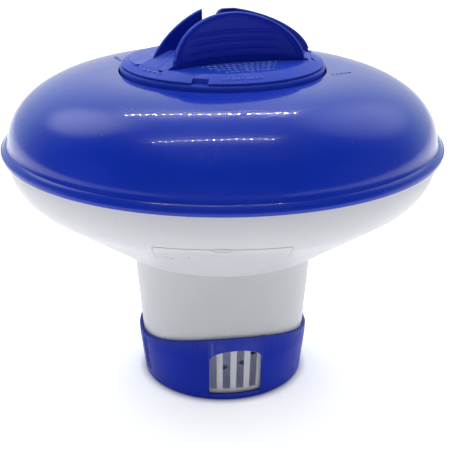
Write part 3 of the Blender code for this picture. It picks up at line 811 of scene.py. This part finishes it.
def build_lid():
    skirt_inner = SKIRT_RADIUS - SKIRT_WALL
    lid = turned("lid_body", rounded([
        (0.0, DECK_TOP),
        (DECK_RADIUS, DECK_TOP),
        (CREST_RADIUS, CREST_TOP),
        (LID_RADIUS, LID_EDGE_TOP),
        (LID_RADIUS, LID_EDGE_BOTTOM),
        (GROOVE_RADIUS, LID_EDGE_BOTTOM),
        (GROOVE_RADIUS, COLLAR_TOP),
        (LID_COLLAR_RADIUS - 0.7, COLLAR_TOP),
        (LID_COLLAR_RADIUS, COLLAR_TOP - 0.8),
        (LID_COLLAR_RADIUS, LID_COLLAR_BOTTOM),
        (SKIRT_RADIUS, LID_COLLAR_BOTTOM),
        (SKIRT_RADIUS, SKIRT_BOTTOM),
        (skirt_inner, SKIRT_BOTTOM),
        (skirt_inner, COLLAR_TOP - 1.0),
        (CREST_RADIUS - 0.8, DECK_TOP - DECK_THICKNESS),
        (0.0, DECK_TOP - DECK_THICKNESS),
    ], 0.3, 4, closed=False), closed=False)
    lid.rotation_euler.z = math.radians(LID_TURN)
    slope_rear_deck(lid)
    lugs = turned("lugs", [
        (SKIRT_RADIUS - 0.7, LUG_TOP), (LUG_RADIUS, LUG_TOP),
        (LUG_RADIUS, LUG_BOTTOM), (SKIRT_RADIUS - 0.7, LUG_BOTTOM),
    ], steps=COARSE_STEPS, home=tools)
    first_lug = LID_TURN + 180.0 / BAYONET_COUNT
    wedges = sectors("lug_wedges", LUG_SPAN, first_lug, LUG_BOTTOM - 1, LUG_TOP + 1)
    boolean(lugs, wedges, "INTERSECT")
    boolean(lid, lugs, "UNION")
    opening = front_line(FIN_THICKNESS + 0.4, HANDLE_OPENING) + rear_line(-0.4, HANDLE_OPENING)
    low = DECK_TOP - 2 * DECK_THICKNESS
    boolean(lid, column("handle_opening", opening, low, HANDLE_FLOOR), "DIFFERENCE")
    boolean(lid, build_handle_floor(), "UNION")
    half = LATCH_NOTCH_WIDTH / 2
    latch = block("latch_notch", (-half, -LID_RADIUS - 2.0, LID_EDGE_BOTTOM - 0.25),
                  (half, -LID_RADIUS + LATCH_NOTCH_DEPTH, CREST_TOP))
    latch.rotation_euler.z = math.radians(LID_TURN + LATCH_NOTCH_ANGLE)
    boolean(lid, latch, "DIFFERENCE")
    settle(lid, sharp=28.0)
    return dress(lid, blue_lid, "lid", "lid_blue", "lid")


def arch_height(x, arch):
    """Height of a fin at a place along it, from 0 at its ends to 1 at its top."""
    apex, left, right, top, left_power, right_power = arch
    span, power = (left, left_power) if x < apex else (right, right_power)
    reach = min(1.0, abs(x - apex) / span)
    return max(0.0, 1.0 - reach ** power) ** (1 / power)


def front_plan(x, depth):
    """Place in plan at an arc length along the front fin, depth behind its front face."""
    angle = x / FRONT_FIN_BEND
    radius = FRONT_FIN_BEND + depth
    return radius * math.sin(angle), radius * math.cos(angle) - FRONT_FIN_FACE - FRONT_FIN_BEND


def rear_plan(x, depth):
    return x, depth - REAR_FIN_FACE


def grip_ribs(x, z):
    """Low grip ribs over the lower two thirds of the front fin, a little bowed."""
    bow = 0.9 * (x / 22.0) ** 2
    low, high = RIB_BAND
    level = z - FIN_FOOT + bow
    if not low < level < high:
        return 0.0
    along = max(0.0, 1.0 - (abs(x + 1.0) / RIB_REACH) ** 8)
    wave = math.sin((level - low) / (high - low) * math.pi * RIB_COUNT)
    return RIB_RISE * along * max(0.0, wave) ** 0.8


def fin_mesh(name, arch, plan, ribs):
    """A fin rounded at its edge. One with ribs also has a double bead along its arch."""
    columns = 180
    rows = 130
    foot = DECK_TOP - 0.8
    apex, left, right, top = arch[:4]
    cage = bmesh.new()
    grids = []
    for face in (0, 1):
        grid = []
        for i in range(columns + 1):
            u = 0.5 - 0.5 * math.cos(math.pi * i / columns)
            x = apex - left + (left + right) * u
            height = FIN_FOOT - foot + (top - FIN_FOOT) * arch_height(x, arch)
            steep = max(0.2, arch_height(x, arch))
            line = []
            for j in range(rows + 1):
                v = 1 - (1 - j / rows) ** 1.7
                z = foot + height * v
                edge = (height - height * v) * steep
                beads = sum(rise * math.exp(-((edge - place) / width) ** 2)
                            for rise, place, width in FIN_BEADS)
                round_off = math.sqrt(max(0.0, 1 - max(0.0, 1 - edge / FIN_EDGE_ROUND) ** 2))
                half = FIN_THICKNESS / 2 * round_off
                if face:
                    depth = FIN_THICKNESS / 2 + half
                else:
                    proud = (ribs(x, z) if ribs and edge > 2.6 else 0.0) + (beads if ribs else 0.0)
                    depth = FIN_THICKNESS / 2 - half - proud * round_off
                px, py = plan(x, depth)
                line.append(cage.verts.new((px * MM, py * MM, z * MM)))
            grid.append(line)
        grids.append(grid)
    front, back = grids
    for i in range(columns):
        for j in range(rows):
            cage.faces.new((front[i][j], front[i + 1][j], front[i + 1][j + 1], front[i][j + 1]))
            cage.faces.new((back[i][j], back[i][j + 1], back[i + 1][j + 1], back[i + 1][j]))
        cage.faces.new((front[i][0], back[i][0], back[i + 1][0], front[i + 1][0]))
        cage.faces.new((front[i][rows], front[i + 1][rows], back[i + 1][rows], back[i][rows]))
    for column_pair in ((front[0], back[0]), (front[columns], back[columns])):
        for j in range(rows):
            one, two = column_pair
            cage.faces.new((one[j], one[j + 1], two[j + 1], two[j]))
    bmesh.ops.remove_doubles(cage, verts=cage.verts, dist=WELD)
    bmesh.ops.recalc_face_normals(cage, faces=cage.faces)
    mesh = bpy.data.meshes.new(name)
    cage.to_mesh(mesh)
    cage.free()
    fin = bpy.data.objects.new(name, mesh)
    pieces.objects.link(fin)
    return fin


def build_front_fin():
    fin = fin_mesh("front_fin", FRONT_ARCH, front_plan, grip_ribs)
    fin.rotation_euler.z = math.radians(LID_TURN)
    settle(fin, sharp=50.0)
    # The darker blue is painted shade on the fin.
    return dress(fin, blue_fin_painted_shade, "lid", "lid_blue")


def build_rear_fin():
    fin = fin_mesh("rear_fin", REAR_ARCH, rear_plan, None)
    left, right = TIE_NOTCH
    top = REAR_ARCH[3] + 5.0
    bend_z = TIE_NOTCH_SHOULDER - TIE_NOTCH_ROUND
    outline = [
        (left, top),
        (left, TIE_NOTCH_FLOOR),
        (right, TIE_NOTCH_FLOOR),
        *arc(right + TIE_NOTCH_ROUND, bend_z, TIE_NOTCH_ROUND, 180.0, 90.0, 12),
        (right + 4 * TIE_NOTCH_ROUND, TIE_NOTCH_SHOULDER),
        (right + 4 * TIE_NOTCH_ROUND, top),
    ]
    tie = slab("tie_notch", [outline], REACH)
    tie.rotation_euler.x = math.pi / 2
    boolean(fin, tie, "DIFFERENCE")
    fin.rotation_euler.z = math.radians(LID_TURN)
    tie.rotation_euler.z = math.radians(LID_TURN)
    settle(fin, bevel=0.12, sharp=40.0)
    # The darker blue is painted shade on the fin.
    return dress(fin, blue_fin_painted_shade, "lid", "lid_blue")


def build_fin_rims():
    """The rounded lip that runs along the top edge of both fins."""
    turn = math.radians(LID_TURN)

    def along(arch, plan, first, last):
        line = []
        for index in range(61):
            x = first + (last - first) * index / 60
            z = FIN_FOOT + (arch[3] - FIN_FOOT) * arch_height(x, arch) - 0.5
            px, py = plan(x, 0.45)
            line.append(((px * math.cos(turn) - py * math.sin(turn)) * MM,
                         (px * math.sin(turn) + py * math.cos(turn)) * MM, z * MM))
        return line

    def spread(arch):
        apex, left, right = arch[:3]
        return apex - left + 0.4, apex + right - 0.4

    front_low, front_high = spread(FRONT_ARCH)
    rear_low, rear_high = spread(REAR_ARCH)
    lines = [
        along(FRONT_ARCH, front_plan, front_low, front_high),
        along(REAR_ARCH, rear_plan, rear_low, TIE_NOTCH[0] - 0.3),
        along(REAR_ARCH, rear_plan, TIE_NOTCH[1] + 9.0, rear_high),
    ]
    # The rims' paler blue is a painted highlight.
    return bead("fin_rims", lines, 0.5, blue_rim_painted_highlight, "lid", "lid_blue")


def wedge_mark(cage, place, turn, length, width, rise):
    """One small raised moulding mark with sloped sides."""
    x, y, z = place
    rows = ((1.0, -0.3), (1.0, rise * 0.6), (0.72, rise))
    rings = []
    for scale, lift in rows:
        ring = []
        for sx, sy in ((-1, -1), (1, -1), (1, 1), (-1, 1)):
            px = sx * length / 2 * scale
            py = sy * width / 2 * scale
            rx = x + px * math.cos(turn) - py * math.sin(turn)
            ry = y + px * math.sin(turn) + py * math.cos(turn)
            ring.append(cage.verts.new((rx * MM, ry * MM, (z + lift) * MM)))
        rings.append(ring)
    for lower, upper in zip(rings, rings[1:]):
        for k in range(4):
            n = (k + 1) % 4
            cage.faces.new((lower[k], lower[n], upper[n], upper[k]))
    cage.faces.new(rings[-1])
    cage.faces.new(rings[0][::-1])


def marks_piece(name, marks, mat, body, slot_name):
    cage = bmesh.new()
    for mark in marks:
        wedge_mark(cage, *mark)
    bmesh.ops.recalc_face_normals(cage, faces=cage.faces)
    mesh = bpy.data.meshes.new(name)
    cage.to_mesh(mesh)
    cage.free()
    obj = bpy.data.objects.new(name, mesh)
    pieces.objects.link(obj)
    return dress(obj, mat, body, slot_name)


def around(radius, degrees):
    """A place at an angle from the front, towards +X, and the turn of a mark there."""
    angle = math.radians(degrees)
    return radius * math.sin(angle), -radius * math.cos(angle), angle


def cone_height(radius):
    """Height of the lid's outer cone at a radius."""
    fall = CREST_TOP - LID_EDGE_TOP
    return CREST_TOP - (radius - CREST_RADIUS) * fall / (LID_RADIUS - CREST_RADIUS)


def build_lid_marks():
    """Plain ticks in the places of the lid's moulded wording."""
    marks = []
    turn = math.radians(LID_TURN)
    for row in range(DECK_MARK_ROWS):
        out = 21.5 + 4.2 * row
        reach = 17.0 - 2.2 * row
        count = 13 - row
        for index in range(count):
            u = -reach + 2 * reach * index / (count - 1)
            x = u * math.cos(turn) + out * math.sin(turn)
            y = u * math.sin(turn) - out * math.cos(turn)
            long = 1.6 if (index + row) % 3 else 0.9
            deep = 2.4 if (index + row) % 2 else 1.5
            marks.append(((x, y, DECK_TOP), turn, long, deep, MARK_RISE))
    for count, radius, first, step, deep in ((9, 42.9, 0.5, 2.7, 1.2), (4, 42.3, -52.0, 4.5, 1.1)):
        for index in range(count):
            x, y, turn = around(radius, first + step * index)
            long = 1.6 if count == 4 else (1.3 if index % 4 else 0.8)
            marks.append(((x, y, cone_height(radius)), turn, long, deep, MARK_RISE))
    # The marks' paler blue is a painted glint.
    return marks_piece("lid_marks", marks, blue_marks_painted_glint, "lid", "lid_blue")


def dome_height(radius):
    """Height of the dome's outer surface at a radius."""
    reach = (radius - LIP_RADIUS) / (DOME_RADIUS - LIP_RADIUS)
    return DOME_FOOT + (DOME_TOP - DOME_FOOT) * (1 - reach ** DOME_POWER) ** (1 / DOME_POWER)


def build_dome_marks():
    """Two plain turn arrows, each a tapering row of ticks, beside the lid."""
    marks = []
    for first, step in ((-116.5, 2.0), (82.0, -2.0)):
        for index in range(5):
            radius = 57.0 - 1.6 * index
            x, y, turn = around(radius, first + step * index)
            marks.append(((x, y, dome_height(radius)), turn, 1.1, 1.9 - 0.25 * index, 0.16))
    return marks_piece("dome_marks", marks, blue_gloss, "float", "float_blue")


def hull_place(height, degrees):
    """A place on the hull's outer surface at a height and an angle from the front."""
    corner_z = MOUTH_BOTTOM + (HULL_RADIUS - MOUTH_OUTER) * math.tan(HULL_CONE_SLOPE)
    shoulder_z = corner_z + HULL_SHOULDER * math.tan((math.pi / 2 - HULL_CONE_SLOPE) / 2)
    if height < shoulder_z - HULL_SHOULDER * math.cos(HULL_CONE_SLOPE):
        radius = MOUTH_OUTER + (height - MOUTH_BOTTOM) / math.tan(HULL_CONE_SLOPE)
    else:
        drop = shoulder_z - height
        radius = HULL_RADIUS - HULL_SHOULDER + math.sqrt(HULL_SHOULDER ** 2 - drop ** 2)
    x, y, _ = around(radius, degrees)
    return x * MM, y * MM, height * MM


def bead(name, lines, thick, mat, body, slot_name):
    """Fine half-sunk beads along lines of places."""
    curve = bpy.data.curves.new(name, "CURVE")
    curve.dimensions = "3D"
    curve.bevel_depth = thick * MM
    curve.bevel_resolution = 3
    curve.use_fill_caps = True
    for line in lines:
        spline = curve.splines.new("POLY")
        spline.points.add(len(line) - 1)
        for point, place in zip(spline.points, line):
            point.co = (*place, 1.0)
    source = bpy.data.objects.new(name + "_path", curve)
    bpy.context.scene.collection.objects.link(source)
    graph = bpy.context.evaluated_depsgraph_get()
    mesh = bpy.data.meshes.new_from_object(source.evaluated_get(graph))
    bpy.data.objects.remove(source, do_unlink=True)
    bpy.data.curves.remove(curve)
    mesh.name = name
    mesh.shade_smooth()
    obj = bpy.data.objects.new(name, mesh)
    pieces.objects.link(obj)
    return dress(obj, mat, body, slot_name)


def build_hull_panel():
    """The edge of the shallow panel on the hull's front, with a small lens at its middle."""
    line = []
    for index in range(9):
        height = PANEL_BOTTOM + (PANEL_CORNER - PANEL_BOTTOM) * index / 8
        line.append(hull_place(height, -PANEL_HALF - 2.6 + 2.0 * index / 8))
    for index in range(1, 7):
        angle = math.radians(15.0 * index)
        height = PANEL_CORNER + 2.0 * math.sin(angle)
        line.append(hull_place(height, -PANEL_HALF + 1.2 - 1.8 * math.cos(angle)))
    for index in range(1, 33):
        height = PANEL_TOP + 0.5 * math.sin(math.pi * index / 32)
        line.append(hull_place(height, (PANEL_HALF - 1.2) * (2 * index / 32 - 1)))
    right = [(-x, y, z) for x, y, z in line[:14]][::-1]
    lens = []
    for index in range(25):
        angle = math.tau * index / 24
        lens.append(hull_place(PANEL_TOP + 1.0 * math.sin(angle), 2.4 * math.cos(angle)))
    return bead("hull_panel", [line + right, lens], 0.28, white_hull, "float", "hull_white")


def build_ring_details():
    """The nub on the ring's rim and the two narrow ribs at its left side."""
    nub = []
    for index in range(5):
        angle = 25.4 + 0.8 * index
        across = (RING_WALL_FOOT + 2.6) * math.sin(math.radians(angle - DOSING_TURN))
        rim = RING_RIM - RING_RIM_DIP * (across / (RING_WALL_FOOT + 2.3)) ** 2
        x, y, _ = around(RING_WALL_FOOT + RIM_OUT, angle)
        nub.append((x * MM, y * MM, (rim + 0.1) * MM))
    lines = [nub]
    for degrees in (-68.5, -64.5):
        rib = []
        for index in range(12):
            height = 5.0 + 20.0 * index / 11
            lean = min(1.0, (height - 0.9) / (RING_BAND - 0.9))
            x, y, _ = around(RING_WALL_FOOT + RIM_OUT * lean - 0.05, degrees)
            rib.append((x * MM, y * MM, height * MM))
        lines.append(rib)
    return bead("ring_details", lines, 0.45, blue_satin, "ring", "ring_blue")


def build_seal():
    seal = turned("seal_ring", rounded([
        (SEAL_LOW[0] * -1 - 1.2, SEAL_HIGH[2]),
        (SEAL_HIGH[0], SEAL_HIGH[2]),
        (SEAL_HIGH[0], SEAL_LOW[2]),
        (SEAL_LOW[0] * -1 - 1.2, SEAL_LOW[2]),
    ], 0.35, 4))
    settle(seal)
    return dress(seal, seal_rubber, "seal", "seal_rubber", "lid_seal")


build_upper_shell()
build_lower_hull()
build_well()
build_chamber()
build_ring()
build_lid()
build_front_fin()
build_rear_fin()
build_fin_rims()
build_lid_marks()
build_dome_marks()
build_hull_panel()
build_ring_details()
build_seal()

for tool in list(tools.objects):
    bpy.data.objects.remove(tool, do_unlink=True)
bpy.data.collections.remove(tools)


# ---------------------------------------------------------------- studio

FLOOR_HALF = 3.0           # metres
WALL_RADIUS = 2.9
WALL_HEIGHT = 5.0
LAMP_CENTRE = 0.13         # height about which the rows of small lamps curve
LAMP_SIZE = 0.008
CAMERA_AWAY = 4.2832       # in flange radii
CAMERA_ABOVE = 1.2686
CAMERA_DOWN = 22.128
CAMERA_LENS = 73.92
CAMERA_SHIFT = 0.0266


def floor_piece():
    mesh = bpy.data.meshes.new("floor")
    cage = bmesh.new()
    bmesh.ops.create_grid(cage, x_segments=1, y_segments=1, size=FLOOR_HALF)
    cage.to_mesh(mesh)
    cage.free()
    floor = bpy.data.objects.new("floor", mesh)
    bpy.context.scene.collection.objects.link(floor)
    mat = bpy.data.materials.new("floor_pale")
    mat.use_nodes = True
    shader = mat.node_tree.nodes["Principled BSDF"]
    shader.inputs["Base Color"].default_value = (0.95, 0.95, 0.95, 1.0)
    shader.inputs["Roughness"].default_value = 0.8
    shader.inputs["Specular IOR Level"].default_value = 0.1
    # Painted light: the floor glows beyond the ring's foot and washes out the cast shadow there.
    # The glow fades to nothing just inside the foot, so a narrow darker band, a painted contact
    # shadow, hugs the foot and the floor under the piece stays unlit.
    shader.inputs["Emission Color"].default_value = (1.0, 1.0, 1.0, 1.0)
    coords = mat.node_tree.nodes.new("ShaderNodeTexCoord")
    away = node(mat.node_tree, "ShaderNodeVectorMath", operation="LENGTH")
    mat.node_tree.links.new(coords.outputs["Object"], away.inputs[0])
    lift = node(mat.node_tree, "ShaderNodeMapRange", interpolation_type="SMOOTHSTEP")
    lift.inputs["From Min"].default_value = RING_WALL_FOOT * 0.94 * MM
    lift.inputs["From Max"].default_value = RING_WALL_FOOT * 1.12 * MM
    lift.inputs["To Max"].default_value = 0.55
    mat.node_tree.links.new(away.outputs["Value"], lift.inputs["Value"])
    mat.node_tree.links.new(lift.outputs["Result"], shader.inputs["Emission Strength"])
    mesh.materials.append(mat)


def backdrop_piece():
    """A pale wall all round, far off, that only a level view sees above the floor."""
    mesh = bpy.data.meshes.new("backdrop")
    cage = bmesh.new()
    bmesh.ops.create_cone(cage, cap_ends=False, segments=COARSE_STEPS, radius1=WALL_RADIUS,
                          radius2=WALL_RADIUS, depth=WALL_HEIGHT)
    cage.to_mesh(mesh)
    cage.free()
    wall = bpy.data.objects.new("backdrop", mesh)
    wall.location.z = 2.4
    bpy.context.scene.collection.objects.link(wall)
    mat = bpy.data.materials.new("backdrop_pale")
    mat.use_nodes = True
    shader = mat.node_tree.nodes["Principled BSDF"]
    shader.inputs["Base Color"].default_value = (0.0, 0.0, 0.0, 1.0)
    shader.inputs["Specular IOR Level"].default_value = 0.0
    shader.inputs["Emission Color"].default_value = (0.97, 0.98, 1.0, 1.0)
    shader.inputs["Emission Strength"].default_value = 0.95
    mesh.materials.append(mat)
    wall.visible_diffuse = False
    wall.visible_glossy = False
    wall.visible_transmission = False
    wall.visible_volume_scatter = False
    wall.visible_shadow = False


def area(name, place, target, size_x, size_y, power, colour=(1.0, 1.0, 1.0)):
    """A soft lamp at a place, turned to a target, both in metres."""
    light = bpy.data.lights.new(name, "AREA")
    light.shape = "RECTANGLE"
    light.size = size_x
    light.size_y = size_y
    light.energy = power
    light.color = colour
    lamp = bpy.data.objects.new(name, light)
    lamp.location = place
    lamp.rotation_euler = (Vector(target) - Vector(place)).to_track_quat("-Z", "Y").to_euler()
    bpy.context.scene.collection.objects.link(lamp)
    return lamp


def build_studio():
    world = bpy.data.worlds.new("studio")
    bpy.context.scene.world = world
    world.use_nodes = True
    tree = world.node_tree
    back = tree.nodes["Background"]
    coords = tree.nodes.new("ShaderNodeTexCoord")
    split = tree.nodes.new("ShaderNodeSeparateXYZ")
    tree.links.new(coords.outputs["Generated"], split.inputs[0])
    centred = node(tree, "ShaderNodeMapRange")
    centred.inputs["From Min"].default_value = -1.0
    tree.links.new(split.outputs["Y"], centred.inputs["Value"])
    tent = ramp(tree, centred.outputs["Result"], [
        (0.0, (0.05, 0.05, 0.06)),
        (0.46, (0.06, 0.06, 0.07)),
        (0.58, (0.12, 0.15, 0.18)),
        (0.72, (0.34, 0.45, 0.55)),
        (0.86, (0.66, 0.84, 0.95)),
        (1.0, (0.90, 0.96, 1.0)),
    ])
    colour = tent.outputs["Color"]
    for direction, edge, strength in (
        ((-0.525, 0.525, 0.669), 0.950, 1.9),
        ((0.532, 0.551, 0.643), 0.925, 0.9),
    ):
        facing = node(tree, "ShaderNodeVectorMath", operation="DOT_PRODUCT")
        facing.inputs[1].default_value = direction
        tree.links.new(coords.outputs["Generated"], facing.inputs[0])
        glow = node(tree, "ShaderNodeMapRange", interpolation_type="SMOOTHSTEP")
        glow.inputs["From Min"].default_value = edge
        glow.inputs["To Max"].default_value = strength
        tree.links.new(facing.outputs["Value"], glow.inputs["Value"])
        total = node(tree, "ShaderNodeMix", data_type="RGBA", blend_type="ADD", clamp_result=False)
        total.inputs["Factor"].default_value = 1.0
        tree.links.new(colour, total.inputs["A"])
        tree.links.new(glow.outputs["Result"], total.inputs["B"])
        colour = total.outputs["Result"]
    tree.links.new(colour, back.inputs["Color"])
    back.inputs["Strength"].default_value = 0.85

    middle = (0.0, 0.0, 0.1)
    for lamp in (
        area("fill_top", (0.0, 0.1, 1.6), middle, 1.6, 1.6, 15.0),
        area("fill_front", (0.0, -1.7, 0.45), middle, 2.4, 0.8, 3.0),
        area("fill_left", (-1.5, -0.4, 0.5), middle, 1.0, 0.8, 3.5),
        area("fill_right", (1.5, -0.4, 0.5), middle, 1.0, 0.8, 2.5),
        area("cup_glow", (0.0, -0.005, 0.05), (0.0, 0.02, 0.0), 0.02, 0.02, 0.006,
             (0.58, 0.62, 1.0)),
    ):
        lamp.visible_glossy = False
    # Two rows of small lamps: name, count, left and right end as (x, degrees over), power.
    rows = (
        ("rear_bead", 20, (-0.34, 128.5), (0.23, 131.0), 0.055),
        ("top_bead", 18, (-0.38, 91.5), (0.26, 95.5), 0.085),
    )
    for name, count, left, right, power in rows:
        for index in range(count):
            t = index / (count - 1)
            x = left[0] + (right[0] - left[0]) * t
            over = math.radians(left[1] + (right[1] - left[1]) * t)
            place = (x, -math.cos(over), LAMP_CENTRE + math.sin(over))
            area(f"{name}_{index}", place, middle, LAMP_SIZE, LAMP_SIZE, power)
    bpy.context.scene.view_settings.view_transform = "Standard"


def build_camera():
    data = bpy.data.cameras.new("camera")
    camera = bpy.data.objects.new("camera", data)
    data.sensor_width = 36.0
    data.lens = CAMERA_LENS
    data.shift_x = CAMERA_SHIFT
    away = CAMERA_AWAY * FLANGE_RADIUS * MM
    height = FLANGE_BOTTOM * MM + CAMERA_ABOVE * FLANGE_RADIUS * MM
    camera.location = (0.0, -away, height)
    camera.rotation_euler = (math.radians(90.0 - CAMERA_DOWN), 0.0, 0.0)
    bpy.context.scene.collection.objects.link(camera)
    bpy.context.scene.camera = camera


floor_piece()
backdrop_piece()
build_studio()
build_camera()
